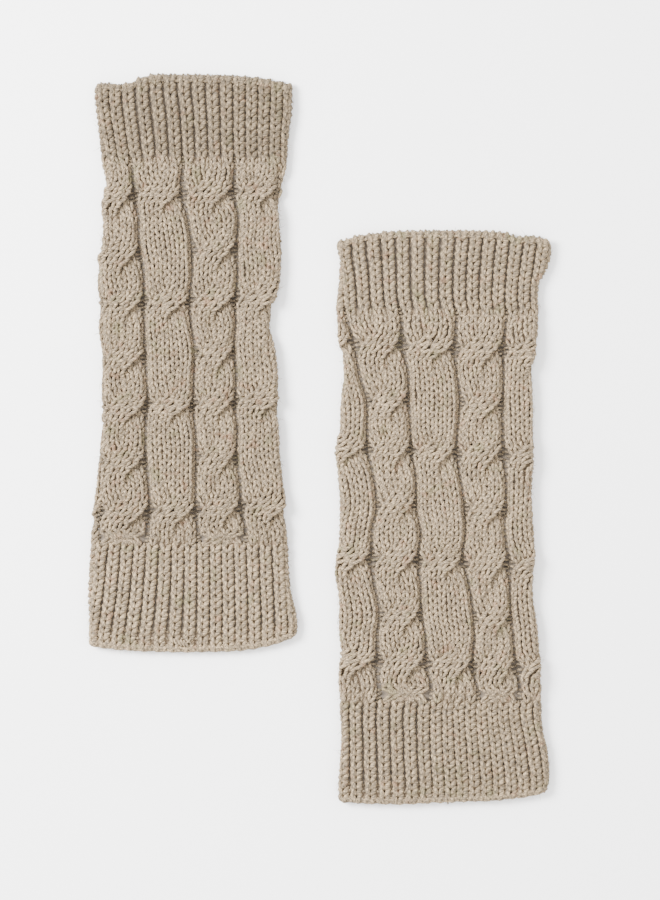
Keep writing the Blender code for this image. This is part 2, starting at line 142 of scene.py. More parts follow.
# Shape of one leg of a stitch: place along the wale in rows, share of the way out, height, thickness
legRun = np.array([1.18, 0.92, 0.52, 0.12, -0.2])
legSpread = np.array([0.0, 0.24, 0.62, 1.0, 1.05])
legHeight = np.array([-1.0, 0.0, 0.35, 0.3, -0.4])
legThick = np.array([0.6, 0.95, 1.06, 1.04, 0.74])

# Shape of a purl bump: share of the way across, height, thickness
purlSpread = np.array([-1.0, 0.0, 1.0])
purlHeight = np.array([-0.6, 0.15, -0.6])
purlThick = np.array([0.75, 1.0, 0.75])

rng = np.random.default_rng(20260)


def smooth(value):
    value = np.clip(value, 0.0, 1.0)
    return value * value * (3.0 - 2.0 * value)


def normalise(vectors):
    return vectors / np.maximum(np.linalg.norm(vectors, axis=-1, keepdims=True), 1e-9)


# Every combination of the given values, as flat arrays
def grid(*axes):
    return [part.reshape(-1) for part in np.meshgrid(*axes, indexing="ij")]


# Distance into the leg from the nearer seam, negative in the cuffs
def intoLeg(warmer, station):
    return np.minimum(station - warmer["seams"][0], warmer["seams"][1] - station)


# A smooth curve through one column of a table
def spline(table, column, stations):
    xs = np.array([row[0] for row in table])
    ys = np.array([row[column] for row in table])
    slope = np.gradient(ys, xs)
    slope[1:-1] = (ys[2:] - ys[:-2]) / (xs[2:] - xs[:-2])
    low = np.clip(np.searchsorted(xs, stations, side="right") - 1, 0, len(xs) - 2)
    span = xs[low + 1] - xs[low]
    part = np.clip((stations - xs[low]) / span, 0.0, 1.0)
    square, cube = part ** 2, part ** 3
    return ((2 * cube - 3 * square + 1) * ys[low] + (cube - 2 * square + part) * slope[low] * span
            + (3 * square - 2 * cube) * ys[low + 1] + (cube - square) * slope[low + 1] * span)


# The flattened tube at every step of its table, kept in the warmer's own dictionary
def prepare(warmer):
    stations = np.arange(knit["tableFrom"], knit["tableTo"], knit["tableStep"])
    legShare = smooth(intoLeg(warmer, stations) / knit["depthBlend"] + 0.5)
    radius = (knit["cuffDepth"] + (knit["legDepth"] - knit["cuffDepth"]) * legShare) / 2
    middle = spline(warmer["outline"], 1, stations)
    straight = spline(warmer["outline"], 2, stations) / 2 - knit["sideRelief"] - radius
    girth = 4 * straight + 2 * math.pi * radius
    places = []
    for number in range(1, len(warmer["gutters"][0])):
        across = spline(warmer["gutters"], number, stations) - middle
        across = across + knit["gutterAside"] * legShare
        past = np.clip((np.abs(across) - straight) / radius, 0.0, 1.0)
        places.append(np.copysign(np.minimum(np.abs(across), straight) + radius * np.arcsin(past), across))
    pitch = (girth - (places[-1] - places[0])) / (columns - (len(places) - 1))
    warmer.update(stations=stations, radius=radius, middle=middle, straight=straight, girth=girth)
    warmer.update(places=places, pitch=pitch)


def at(warmer, key, station):
    return np.interp(station, warmer["stations"], warmer[key])


# Distance along the girth from the middle of the front
def arcOf(warmer, column, station):
    places = [np.interp(station, warmer["stations"], place) for place in warmer["places"]]
    pitch = at(warmer, "pitch", station)
    before, beyond = places[0] - (1 - column) * pitch, places[-1] + (column - len(places)) * pitch
    arc = np.where(column <= 1, before, beyond)
    for number in range(1, len(places)):
        inside = (column > number) & (column <= number + 1)
        step = places[number] - places[number - 1]
        arc = np.where(inside, places[number - 1] + (column - number) * step, arc)
    girth = at(warmer, "girth", station)
    return (arc + girth / 2) % girth - girth / 2


# Angle that a place is turned round the fold by: 0 on the front, pi on the back
def turnOf(warmer, column, station):
    run = np.abs(arcOf(warmer, column, station)) - at(warmer, "straight", station)
    return np.clip(run / at(warmer, "radius", station), 0.0, math.pi)


# The open ends are bowed, so the knit of a cuff is shifted along the tube
def mouthShift(warmer, station, x, turn):
    half = at(warmer, "straight", station) + at(warmer, "radius", station)
    across = (x - at(warmer, "middle", station)) / half
    under = turn / math.pi
    total = 0.0
    for key, number, outward in (("topMouth", 0, -1.0), ("bottomMouth", 1, 1.0)):
        out, leftBack, rightBack, frontPower, backPower, peek = warmer[key]
        seam, corner = warmer["seams"][number], warmer["corners"][number]
        reach = np.maximum(0.0, (station - seam) / (corner - seam))
        back = np.where(across < 0, leftBack, rightBack)
        front = out - back * np.abs(across) ** frontPower
        rear = out + peek - back * np.abs(across) ** backPower
        for end, spot, width, depth in warmer["dips"]:
            dip = depth * np.exp(-((across - spot) / width) ** 2) * (end == number)
            front, rear = front - dip, rear - dip
        total = total + outward * reach * (front + (rear - front) * under)
    return total


# Points of the tube, lifted off its mean surface
def surface(warmer, column, station, lift):
    arc = arcOf(warmer, column, station)
    straight, radius = at(warmer, "straight", station), at(warmer, "radius", station)
    side = np.where(arc < 0, -1.0, 1.0)
    run = np.abs(arc)
    turn = np.clip((run - straight) / radius, 0.0, math.pi)
    back = np.maximum(0.0, run - straight - math.pi * radius)
    outX, outZ = side * np.sin(turn), np.cos(turn)
    x = at(warmer, "middle", station) + side * (np.minimum(run, straight) - back) + radius * outX
    y = station + mouthShift(warmer, station, x, turn)
    z = radius * (1 + outZ) + lift * outZ
    return np.stack([warmer["axis"] + x + lift * outX, warmer["top"] - y, z], -1)


# The relief shows on the front and fades round the folds to the plain underside
def shownShare(warmer, column, station):
    turned = turnOf(warmer, column, station) / math.pi
    return 1.0 - smooth((turned - knit["fadeFrom"]) / knit["fadeWidth"])


# Rows of the leg are counted down the warmer, with the crossings at their own stations
def legStation(warmer, row):
    marks = (0,) + knit["crossingRows"] + (knit["legRows"],)
    stations = (warmer["seams"][0],) + warmer["crossings"] + (warmer["seams"][1],)
    beyond = np.minimum(row, 0) + np.maximum(row - knit["legRows"], 0)
    return np.interp(row, marks, stations) + beyond * knit["rowHeight"]


# Rows of a cuff are counted down the warmer, as in the leg
def cuffStation(warmer, upper, row):
    seams, corners = warmer["seams"], warmer["corners"]
    if upper:
        start, end, count = corners[0] + knit["topInset"], seams[0], knit["topRows"]
    else:
        start, end, count = seams[1], corners[1] - knit["bottomInset"], knit["bottomRows"]
    return start + (end - start) * row / count


# From the ribs' own layout at a seam, 0, to the cables', 1
def seamShare(row):
    return smooth(np.minimum(row, knit["legRows"] - row) / knit["seamRows"] + knit["seamStart"])


# The row in which a column's crossing lies, and whether the column takes part in it. The last two columns
# lie left of the first, so they count as before it.
def crossingRow(warmer, number, index):
    counted = (number + 2) % columns - 2
    late = warmer["late"][index] + warmer["lean"] * (counted - warmer["leanFrom"])
    return knit["crossingRows"][index] + late, (number % 2 == warmer["ropeParity"]) | (index % 2 == 0)


# A slight unevenness from row to row, column to column and wale to wale
def waverOf(steps, row, number, slot):
    return np.sin(steps[0] * row + steps[1] * number + steps[2] * slot)


# Column position and height of a knit wale, through every cable crossing that it takes part in
def walePlace(warmer, number, slot, row):
    number, slot, row = np.broadcast_arrays(number, slot, row)
    rope = number % 2 == warmer["ropeParity"]
    rise, overReach, underReach = [
        np.where(rope, cable[key][1], cable[key][0]) for key in ("rise", "overReach", "underReach")]
    slots = np.array(knit["slots"])
    place = slots[slot].astype(float)
    lift = np.zeros(row.shape)
    near = np.zeros(row.shape)
    now = slot.copy()
    for index in range(len(knit["crossingRows"])):
        crossing, takes = crossingRow(warmer, number, index)
        after = (now + strandWales) % wales
        isOver = now >= strandWales
        # the wales of a strand pass one after another, so that the strand keeps its width
        lag = np.where(isOver, now - strandWales - 1, 1 - now) * cable["lag"]
        run = row - crossing - lag
        crossed = 0.5 * (1 + np.tanh(run / np.where(isOver, overReach, underReach)))
        over = rise * np.exp(-(run / cable["riseRows"]) ** 2)
        # the under strand goes down quickly and comes up slowly
        late = run - cable["dipLate"]
        dipRows = np.where(late > 0, cable["dipUpRows"], cable["dipDownRows"])
        under = -cable["dip"] * np.exp(-(late / dipRows) ** 2)
        place = place + np.where(takes, (slots[after] - slots[now]) * crossed, 0.0)
        lift = lift + np.where(takes, np.where(isOver, over, under), 0.0)
        # the column is drawn in, but less on its left where the column beside it is drawn in as well
        alone = rope & (index % 2 == 1)
        drawn = np.exp(-((row - crossing - cable["narrowLate"]) / cable["narrowRows"]) ** 2)
        drawn = drawn * np.where(alone | (place > 0.5), 1.0, cable["narrowLeft"])
        near = np.maximum(near, np.where(takes, drawn, 0.0))
        now = np.where(takes, after, now)
    drawnIn = cable["narrow"] * near * smooth(np.abs(place - 0.5) / cable["narrowEdge"])
    place = 0.5 + (place - 0.5) * (1.0 - drawnIn)
    place = place + cable["waver"] * waverOf(cable["waverSteps"], row, number, slot)
    lift = lift + cable["uneven"] * waverOf(cable["unevenSteps"], row, number, slot)
    seamPlace = np.array(knit["seamSlots"])[slot]
    place = seamPlace + (place - seamPlace) * seamShare(row)
    # the middle wale of a rope's strand stands higher than the two beside it
    strand = np.where(slot % strandWales == 1, 1.0, -1.0) * cable["strandRound"]
    lift = lift + np.where(rope, strand, 0.0)
    return number, place, rope, lift


# Height of the column that the wale lies on
def columnHeight(place, rope):
    shoulder = smooth((np.minimum(place, 1 - place) - knit["gutterFlat"]) / knit["gutterWidth"])
    height = knit["gutterFloor"] + (knit["columnCrown"] - knit["gutterFloor"]) * shoulder
    rounded = knit["columnRound"] * (np.sin(np.pi * np.clip(place, 0, 1)) - knit["roundMean"])
    return height + np.where(rope, 0.0, rounded)


# Points of a wale of the leg, or beside it by a part of a column
def legPath(warmer, number, slot):
    def path(rows, beside=0.0):
        whole, place, rope, lift = walePlace(warmer, number[:, None], slot[:, None], rows)
        place = place + beside
        station = legStation(warmer, rows)
        share = shownShare(warmer, whole + place, station)
        cabled = seamShare(rows)
        height = (columnHeight(place, rope) + lift * share) * cabled
        height = height + ribHeight(False, place, 0 * rows) * (1 - cabled)
        return surface(warmer, whole + place, station, height * share - yarn["sunk"])
    return path


# A rib stands highest in the middle, and eases off towards the open end
def ribHeight(upper, column, rows):
    place = (column * ribsPerColumn) % 1.0
    toEnd = rows if upper else knit["bottomRows"] - rows
    shoulder = smooth(np.minimum(place, 1 - place) / knit["ribSide"])
    height = knit["ribFloor"] + (knit["ribCrown"] - knit["ribFloor"]) * shoulder
    return height * (knit["ribEnd"] + (1 - knit["ribEnd"]) * smooth(toEnd / knit["ribEndRows"]))


# Points of the ribs of a cuff, or beside them by a part of a column
def cuffPath(warmer, upper, column):
    def path(rows, beside=0.0):
        station = cuffStation(warmer, upper, rows)
        place = column[:, None] + beside + 0 * rows
        share = shownShare(warmer, place, station)
        return surface(warmer, place, station, ribHeight(upper, place, rows) * share - yarn["sunk"])
    return path


# The chains along the rims: stitches round, distance in and below, and the yarn's radius
rim = {
    "top": {"count": 80, "inset": 1.7, "drop": 2.4, "radius": 1.1},
    "bottom": {"count": 64, "inset": 1.2, "drop": 1.7, "radius": 1.3},
    "out": 1.15, "in": 0.5, "wave": 0.3, "height": 0.4, "heightWave": 0.5,
    "asideOut": 30.0, "asideDown": 20.0}  # a stitch opens outwards and down, by so much for a column


# A chain of stitches along the rim of an open end, waved by the ribs
def rimPath(warmer, upper, chain):
    corner = warmer["corners"][0 if upper else 1]
    outward = -1.0 if upper else 1.0

    def path(rows, beside=0.0):
        column = (columns * rows / chain["count"]) % columns
        wave = rim["wave"] * np.cos(2 * math.pi * ribsPerColumn * column)
        station = corner - outward * (chain["inset"] + wave) + beside * outward * rim["asideOut"]
        share = shownShare(warmer, column, station)
        height = (rim["height"] - rim["heightWave"] * wave) * share
        return surface(warmer, column, station, height - chain["drop"] - beside * rim["asideDown"])
    return path


# Closed tubes through rows of centres, with the place along and round the yarn for its ply twist
def tubes(centres, ups, radii, sides, tones):
    count, rings = centres.shape[:2]
    direction = normalise(np.gradient(centres, axis=1))
    side = normalise(np.cross(direction, ups))
    up = np.cross(side, direction)
    angles = 2 * math.pi * (np.arange(sides) + 0.5) / sides
    cosines, sines = np.cos(angles), np.sin(angles)
    around = cosines[:, None] * side[:, :, None] + yarn["flat"] * sines[:, None] * up[:, :, None]
    ringPoints = centres[:, :, None] + radii[:, :, None, None] * around
    first = centres[:, 0] - direction[:, 0] * radii[:, 0, None] * yarn["tip"]
    last = centres[:, -1] + direction[:, -1] * radii[:, -1, None] * yarn["tip"]
    points = np.concatenate([ringPoints.reshape(count, -1, 3), first[:, None], last[:, None]], axis=1)
    steps = np.linalg.norm(np.diff(centres, axis=1), axis=-1)
    length = np.concatenate([np.zeros((count, 1)), np.cumsum(steps, axis=1)], axis=1)
    length = length + rng.uniform(0, yarn["plyStart"], (count, 1))
    size = rings * sides
    twist = np.empty((count, size + 2, 3))
    twist[:, :size, 0] = np.repeat(length, sides, axis=1)
    twist[:, :size, 1] = np.tile(cosines, rings)
    twist[:, :size, 2] = np.tile(sines, rings)
    # the tips lie a millimetre past the ends
    twist[:, size] = np.stack([length[:, 0] - 1, np.zeros(count), np.ones(count)], -1)
    twist[:, size + 1] = np.stack([length[:, -1] + 1, np.zeros(count), np.ones(count)], -1)
    ring, corner = np.meshgrid(np.arange(rings - 1), np.arange(sides), indexing="ij")
    here, beside = ring * sides + corner, ring * sides + (corner + 1) % sides
    quads = np.stack([here, beside, beside + sides, here + sides], -1).reshape(-1, 4)
    turn, after = np.arange(sides), (np.arange(sides) + 1) % sides
    low = np.stack([after, turn, np.full(sides, size)], -1)
    high = np.stack([size - sides + turn, size - sides + after, np.full(sides, size + 1)], -1)
    offset = (np.arange(count) * (size + 2))[:, None, None]
    quads = (quads[None] + offset).reshape(-1, 4)
    triangles = (np.concatenate([low, high])[None] + offset).reshape(-1, 3)
    return points.reshape(-1, 3), quads, triangles, twist.reshape(-1, 3), np.repeat(tones, size + 2)


# Both legs of every stitch along the given path. Each leg lies on the cloth where it is.
def stitchLegs(path, rows, radius, out, inward, coarse):
    pick = np.arange(0, len(legRun), 2 if coarse else 1)
    run, spread, height, thick = legRun[pick], legSpread[pick], legHeight[pick], legThick[pick]
    count = len(rows)
    wander = rng.normal(0, yarn["wobble"], (count, 4))
    sample = rows[:, None] + run[None] + wander[:, :1] * yarn["wobbleAlong"]
    rowStep, asideStep = yarn["rowStep"], yarn["asideStep"]
    heading = normalise(path(sample + rowStep) - path(sample - rowStep))
    across = (path(sample, asideStep) - path(sample, -asideStep)) / (2 * asideStep)
    perColumn = np.linalg.norm(across, axis=-1, keepdims=True)
    across = across / perColumn
    down = normalise(np.cross(across, np.cross(heading, across)))
    lateral = normalise(across - heading * np.sum(across * heading, -1, keepdims=True))
    alongRow = np.sum(lateral * across, -1, keepdims=True)
    alongDown = np.sum(lateral * down, -1, keepdims=True)
    tone = rng.uniform(0, 1, count)
    sets = []
    for side in (-1.0, 1.0):
        apart = side * (inward + (out - inward) * spread[None, :, None]) + wander[:, 2:3, None]
        beside = (apart * alongRow / perColumn)[..., 0]
        centres = path(sample, beside) + down * apart * alongDown
        slope = normalise(path(sample, beside + asideStep) - path(sample, beside - asideStep))
        ups = normalise(np.cross(heading, slope))
        centres = centres + ups * (height[None, :, None] + wander[:, 1:2, None] * yarn["wobbleUp"])
        centres = centres + rng.normal(0, yarn["jitter"], centres.shape)
        radii = radius * thick[None] * (1 + wander[:, 3:4] * yarn["wobbleThick"])
        sets.append(tubes(centres, ups, radii, yarn["coarseSides"] if coarse else yarn["sides"], tone))
    return sets


# A purl bump across the valley between knit wales at each place
def valleyBumps(warmer, column, station, lift, tone, half=yarn["purlHalf"], radius=yarn["purlRadius"]):
    count = len(column)
    points = surface(warmer, column, station, lift)
    right = surface(warmer, column + yarn["asideStep"], station, lift)
    left = surface(warmer, column - yarn["asideStep"], station, lift)
    across = normalise(right - left)
    along = normalise(surface(warmer, column, station + yarn["stationStep"], lift) - points)
    ups = np.cross(along, across)
    lean = rng.normal(0, yarn["purlLean"], (count, 1)) * purlSpread
    centres = points[:, None] + across[:, None] * (purlSpread[None, :, None] * half)
    centres = centres + ups[:, None] * purlHeight[None, :, None]
    centres = centres + np.cross(ups, across)[:, None] * lean[..., None]
    radii = radius * purlThick * (1 + rng.normal(0, yarn["purlUneven"], (count, 1)))
    tones = tone + rng.uniform(0, 1, count)
    return tubes(centres, ups[:, None] + 0 * centres, radii, yarn["coarseSides"], tones)


def meshFrom(name, points, quads, triangles, material, attributes):
    mesh = bpy.data.meshes.new(name)
    loops = np.concatenate([quads.reshape(-1), triangles.reshape(-1)]).astype(np.int32)
    sizes = np.concatenate([np.full(len(quads), 4), np.full(len(triangles), 3)]).astype(np.int32)
    mesh.vertices.add(len(points))
    mesh.vertices.foreach_set("co", (points * millimetre).astype(np.float32).reshape(-1))
    mesh.loops.add(len(loops))
    mesh.loops.foreach_set("vertex_index", loops)
    mesh.polygons.add(len(sizes))
    mesh.polygons.foreach_set("loop_start", (np.cumsum(sizes) - sizes).astype(np.int32))
    mesh.polygons.foreach_set("loop_total", sizes)
    mesh.polygons.foreach_set("use_smooth", np.ones(len(sizes), bool))
    mesh.update(calc_edges=True)
    for key, values in attributes.items():
        if values.ndim == 2:
            layer = mesh.attributes.new(key, "FLOAT_VECTOR", "POINT")
            layer.data.foreach_set("vector", values.astype(np.float32).reshape(-1))
        else:
            layer = mesh.attributes.new(key, "FLOAT", "POINT")
            layer.data.foreach_set("value", values.astype(np.float32))
    piece = bpy.data.objects.new(name, mesh)
    bpy.context.scene.collection.objects.link(piece)
    mesh.materials.append(material)
    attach(piece, "root")
    return piece


# Several sets of tubes as one piece, pressed flat where they would pass through what they lie on. Its tone
# is lowered by shade, a painted shade over the whole piece.
def yarnPiece(name, sets, material, shade=0.0):
    starts = np.cumsum([0] + [len(part[0]) for part in sets[:-1]])
    points = np.concatenate([part[0] for part in sets])
    low = points[:, 2] < yarn["pressBelow"]
    below = (yarn["pressBelow"] - points[low, 2]) / yarn["pressReach"]
    points[low, 2] = yarn["pressBelow"] - yarn["pressDepth"] * np.tanh(below)
    quads = np.concatenate([part[1] + start for part, start in zip(sets, starts)])
    triangles = np.concatenate([part[2] + start for part, start in zip(sets, starts)])
    twist = np.concatenate([part[3] for part in sets])
    tone = np.concatenate([part[4] for part in sets]) + shade
    piece = meshFrom(name, points, quads, triangles, material, {"twist": twist, "tone": tone})
    print(name, "triangles", 2 * len(quads) + len(triangles))
    return piece


# Colours and scale of the yarn
look = {
    "light": (0.49, 0.361, 0.213), "dark": (0.106, 0.086, 0.066), "pink": (0.22, 0.12, 0.07),
    # under, valley and shade colour the cloth behind the stitches: painted shade, darkest in the valleys and
    # hollows, lighter under the raised knit
    "green": (0.165, 0.15, 0.075), "under": (0.22, 0.16, 0.105), "valley": (0.13, 0.103, 0.078),
    "shade": (0.062, 0.05, 0.038), "cuffTint": (0.99, 0.99, 0.985), "fuzzTint": (1.25, 1.22, 1.15),
    "plies": 2.0, "plyPitch": 3.0, "plyDepth": 0.00028, "plyPower": 0.6,
    "fibreAlong": 0.32, "fibreAround": 1.4, "fibreHeight": 0.9, "fineHeight": 0.5,
    # scale, detail and roughness of each noise, and the values between which it takes effect
    "fibreNoise": (1.3, 3.0, 0.6), "fibreRange": (0.36, 0.7),
    "fineNoise": (850.0, 1.0, 0.5), "fineRange": (0.32, 0.68),
    "pinkNoise": (120.0, 2.0, 0.55), "pinkRange": (0.58, 0.74),
    "greenNoise": (75.0, 2.0, 0.5), "greenRange": (0.57, 0.75), "tintShare": 0.55,
    # brightness: a factor, and what is added; plyShade darkens the grooves between the plies as painted
    # shade
    "plyShade": (0.16, 0.84), "stitchShade": (0.13, 0.92), "fibreShade": (0.56, 0.65),
    "roughness": 0.95, "specular": 0.25, "sheen": 0.1, "sheenRoughness": 0.5, "sheenTint": (0.8, 0.66, 0.48),
    # the cloth behind the stitches: relief of its wales, rows and fibres, and the heights over which its
    # painted shade lightens from shade to valley
    "insideWales": 0.2, "insideRows": 0.4, "insideFine": 0.5, "insideNoise": (1200.0, 3.0, 0.6),
    "insideDepth": 0.0006, "insideRange": (-0.3, 0.9)}


def addNode(tree, kind, **values):
    node = tree.nodes.new(kind)
    for key, value in values.items():
        setattr(node, key, value)
    return node


def plug(tree, value, socket):
    if hasattr(value, "is_output"):
        tree.links.new(value, socket)
    elif isinstance(value, tuple):
        socket.default_value = value + (1.0,)
    else:
        socket.default_value = value


def mathNode(tree, operation, first, second=None):
    node = addNode(tree, "ShaderNodeMath", operation=operation)
    plug(tree, first, node.inputs[0])
    if second is not None:
        plug(tree, second, node.inputs[1])
    return node.outputs[0]


def times(tree, value, factor):
    return mathNode(tree, "MULTIPLY", value, factor)


def scaled(tree, value, factor, offset):
    return mathNode(tree, "ADD", times(tree, value, factor), offset)


def mixColour(tree, share, first, second, blend="MIX"):
    node = addNode(tree, "ShaderNodeMix", data_type="RGBA", blend_type=blend)
    plug(tree, share, node.inputs[0])
    plug(tree, first, node.inputs[6])
    plug(tree, second, node.inputs[7])
    return node.outputs[2]


def noise(tree, vector, scale, detail, roughness):
    node = addNode(tree, "ShaderNodeTexNoise")
    tree.links.new(vector, node.inputs["Vector"])
    node.inputs["Scale"].default_value = scale
    node.inputs["Detail"].default_value = detail
    node.inputs["Roughness"].default_value = roughness
    return node.outputs["Fac"]


def ramp(tree, value, low, high):
    node = addNode(tree, "ShaderNodeMapRange", interpolation_type="SMOOTHSTEP")
    tree.links.new(value, node.inputs["Value"])
    node.inputs["From Min"].default_value = low
    node.inputs["From Max"].default_value = high
    return node.outputs["Result"]


def newMaterial(name):
    material = bpy.data.materials.new(name)
    material.use_nodes = True
    return material, material.node_tree, material.node_tree.nodes["Principled BSDF"]


def addBump(tree, shader, height, depth):
    bump = addNode(tree, "ShaderNodeBump")
    bump.inputs["Distance"].default_value = depth
    tree.links.new(height, bump.inputs["Height"])
    tree.links.new(bump.outputs[0], shader.inputs["Normal"])


# Heathered, two-ply yarn: its colour, with painted shade in the grooves between the plies, and the height of
# its plies and fibres
def yarnGroup():
    tree = bpy.data.node_groups.new("heatherYarn", "ShaderNodeTree")
    link = tree.links.new
    tree.interface.new_socket("Colour", in_out="OUTPUT", socket_type="NodeSocketColor")
    tree.interface.new_socket("Height", in_out="OUTPUT", socket_type="NodeSocketFloat")
    out = addNode(tree, "NodeGroupOutput")
    place = addNode(tree, "ShaderNodeTexCoord").outputs["Object"]
    twist = addNode(tree, "ShaderNodeAttribute", attribute_name="twist").outputs["Vector"]
    tone = addNode(tree, "ShaderNodeAttribute", attribute_name="tone").outputs["Fac"]
    parts = addNode(tree, "ShaderNodeSeparateXYZ")
    link(twist, parts.inputs[0])
    along = parts.outputs[0]
    angle = mathNode(tree, "ARCTAN2", parts.outputs[2], parts.outputs[1])
    phase = times(tree, along, 2 * math.pi / look["plyPitch"])
    wave = mathNode(tree, "SINE", mathNode(tree, "ADD", times(tree, angle, look["plies"]), phase))
    ply = mathNode(tree, "POWER", scaled(tree, wave, 0.5, 0.5), look["plyPower"])
    # fibres run round the yarn with the plies
    strand = mathNode(tree, "ADD", angle, times(tree, phase, 1 / look["plies"]))
    streak = addNode(tree, "ShaderNodeCombineXYZ")
    link(times(tree, along, look["fibreAlong"]), streak.inputs[0])
    link(times(tree, mathNode(tree, "SINE", strand), look["fibreAround"]), streak.inputs[1])
    link(times(tree, mathNode(tree, "COSINE", strand), look["fibreAround"]), streak.inputs[2])
    fibres = noise(tree, streak.outputs[0], *look["fibreNoise"])
    fine = ramp(tree, noise(tree, place, *look["fineNoise"]), *look["fineRange"])
    colour = mixColour(tree, ramp(tree, fibres, *look["fibreRange"]), look["dark"], look["light"])
    for tint in ("pink", "green"):
        flecks = ramp(tree, noise(tree, place, *look[tint + "Noise"]), *look[tint + "Range"])
        colour = mixColour(tree, times(tree, flecks, look["tintShare"]), colour, look[tint])
    # painted shade: darker in the grooves between the plies, and by the tone, which holds random tone and
    # painted shade
    shade = times(tree, scaled(tree, ply, *look["plyShade"]), scaled(tree, tone, *look["stitchShade"]))
    shade = times(tree, shade, scaled(tree, fine, *look["fibreShade"]))
    grey = addNode(tree, "ShaderNodeCombineColor")
    for socket in grey.inputs[:3]:
        link(shade, socket)
    colour = mixColour(tree, 1.0, colour, grey.outputs[0], "MULTIPLY")
    height = mathNode(tree, "ADD", ply, times(tree, fibres, look["fibreHeight"]))
    height = mathNode(tree, "ADD", height, times(tree, fine, look["fineHeight"]))
    link(colour, out.inputs["Colour"])
    link(height, out.inputs["Height"])
    return tree


def yarnMaterial(name, group, tint=(1.0, 1.0, 1.0)):
    material, tree, shader = newMaterial(name)
    source = addNode(tree, "ShaderNodeGroup", node_tree=group)
    addBump(tree, shader, source.outputs["Height"], look["plyDepth"])
    colour = mixColour(tree, 1.0, source.outputs["Colour"], tint, "MULTIPLY")
    tree.links.new(colour, shader.inputs["Base Color"])
    shader.inputs["Roughness"].default_value = look["roughness"]
    shader.inputs["Sheen Weight"].default_value = look["sheen"]
    shader.inputs["Sheen Roughness"].default_value = look["sheenRoughness"]
    shader.inputs["Sheen Tint"].default_value = look["sheenTint"] + (1.0,)
    shader.inputs["Specular IOR Level"].default_value = look["specular"]
    return material


# The inside of the cloth: rows of small purl bumps in painted shade, darkest in their hollows and in the
# valleys, lighter under the raised knit
def shadedInsideMaterial():
    material, tree, shader = newMaterial("shadedKnitInside")
    cell = addNode(tree, "ShaderNodeAttribute", attribute_name="cell").outputs["Vector"]
    place = addNode(tree, "ShaderNodeTexCoord").outputs["Object"]
    parts = addNode(tree, "ShaderNodeSeparateXYZ")
    tree.links.new(cell, parts.inputs[0])
    overWales = mathNode(tree, "SINE", times(tree, parts.outputs[0], 2 * math.pi))
    overRows = mathNode(tree, "SINE", times(tree, parts.outputs[1], 2 * math.pi))
    height = mathNode(
        tree, "ADD", times(tree, overWales, look["insideWales"]), times(tree, overRows, look["insideRows"]))
    fine = noise(tree, place, *look["insideNoise"])
    height = mathNode(tree, "ADD", height, times(tree, fine, look["insideFine"]))
    addBump(tree, shader, height, look["insideDepth"])
    deepShade = mixColour(tree, ramp(tree, height, *look["insideRange"]), look["shade"], look["valley"])
    tree.links.new(mixColour(tree, parts.outputs[2], deepShade, look["under"]), shader.inputs["Base Color"])
    shader.inputs["Roughness"].default_value = look["roughness"]
    return material


heather = yarnGroup()
legYarn = yarnMaterial("legYarn", heather)
cuffYarn = yarnMaterial("cuffYarn", heather, look["cuffTint"])
fuzzYarn = yarnMaterial("fuzzYarn", heather, look["fuzzTint"])
shadedInsideKnit = shadedInsideMaterial()


# The cloth behind the stitches: a thin closed shell, open at both ends of the tube
def clothShell(warmer):
    shell = {"across": 96, "down": 104, "rimInset": 0.6, "behind": 2.7, "inside": 3.6, "deepest": 3.35,
             "follow": 0.85, "widened": 1.14, "seamBlend": 6.0, "hemBlend": 6.0,
             "valley": 0.13, "valleyBlend": 0.09}
    name = warmer["name"]
    down, across = shell["down"], shell["across"]
    first, last = warmer["corners"][0] + shell["rimInset"], warmer["corners"][1] - shell["rimInset"]
    column, station = np.meshgrid(np.arange(across) * columns / across, np.linspace(first, last, down))
    into = intoLeg(warmer, station)
    inLeg, inRib = column % 1.0, (column * ribsPerColumn) % 1.0
    # the gutters are wider in the cloth than between the stitches
    widened = np.clip(0.5 + (inLeg - 0.5) * shell["widened"], 0, 1)
    relief = columnHeight(widened, np.ones(column.shape, bool)) * smooth(into / shell["seamBlend"] + 0.5)
    lift = relief * shownShare(warmer, column, station) * shell["follow"] - shell["behind"]
    lift = np.maximum(lift, -shell["deepest"])
    outer = surface(warmer, column, station, lift)
    inner = surface(warmer, column, station, 0 * column - shell["inside"])
    points = np.concatenate([outer.reshape(-1, 3), inner.reshape(-1, 3)])
    row, index = np.meshgrid(np.arange(down - 1), np.arange(across), indexing="ij")
    one, two = row * across + index, row * across + (index + 1) % across
    outside = np.stack([one, one + across, two + across, two], -1).reshape(-1, 4)
    inside = outside[:, ::-1] + down * across
    index, after = np.arange(across), (np.arange(across) + 1) % across
    start = np.stack([index, after, after + down * across, index + down * across], -1)
    end = start[:, [1, 0, 3, 2]] + (down - 1) * across
    quads = np.concatenate([outside, inside, start, end])
    # how far the cloth lies under raised knit, from a valley, 0, to the middle of a column or rib, 1; it
    # lightens the cloth's painted shade
    underLeg = smooth((np.minimum(inLeg, 1 - inLeg) - shell["valley"]) / shell["valleyBlend"])
    hemStart = warmer["corners"][1] - knit["hemRows"] * knit["rowHeight"]
    underCuff = np.maximum(smooth(4 * inRib * (1 - inRib)), smooth((station - hemStart) / shell["hemBlend"]))
    knitOver = np.where(into > 0, underLeg, underCuff)
    cells = np.stack([column * columns, station / knit["rowHeight"], knitOver], -1).reshape(-1, 3)
    piece = meshFrom(name + "_cloth", points, quads, np.zeros((0, 3), int), shadedInsideKnit,
                     {"cell": np.concatenate([cells, cells])})
    print(piece.name, "triangles", 2 * len(quads))
    return piece
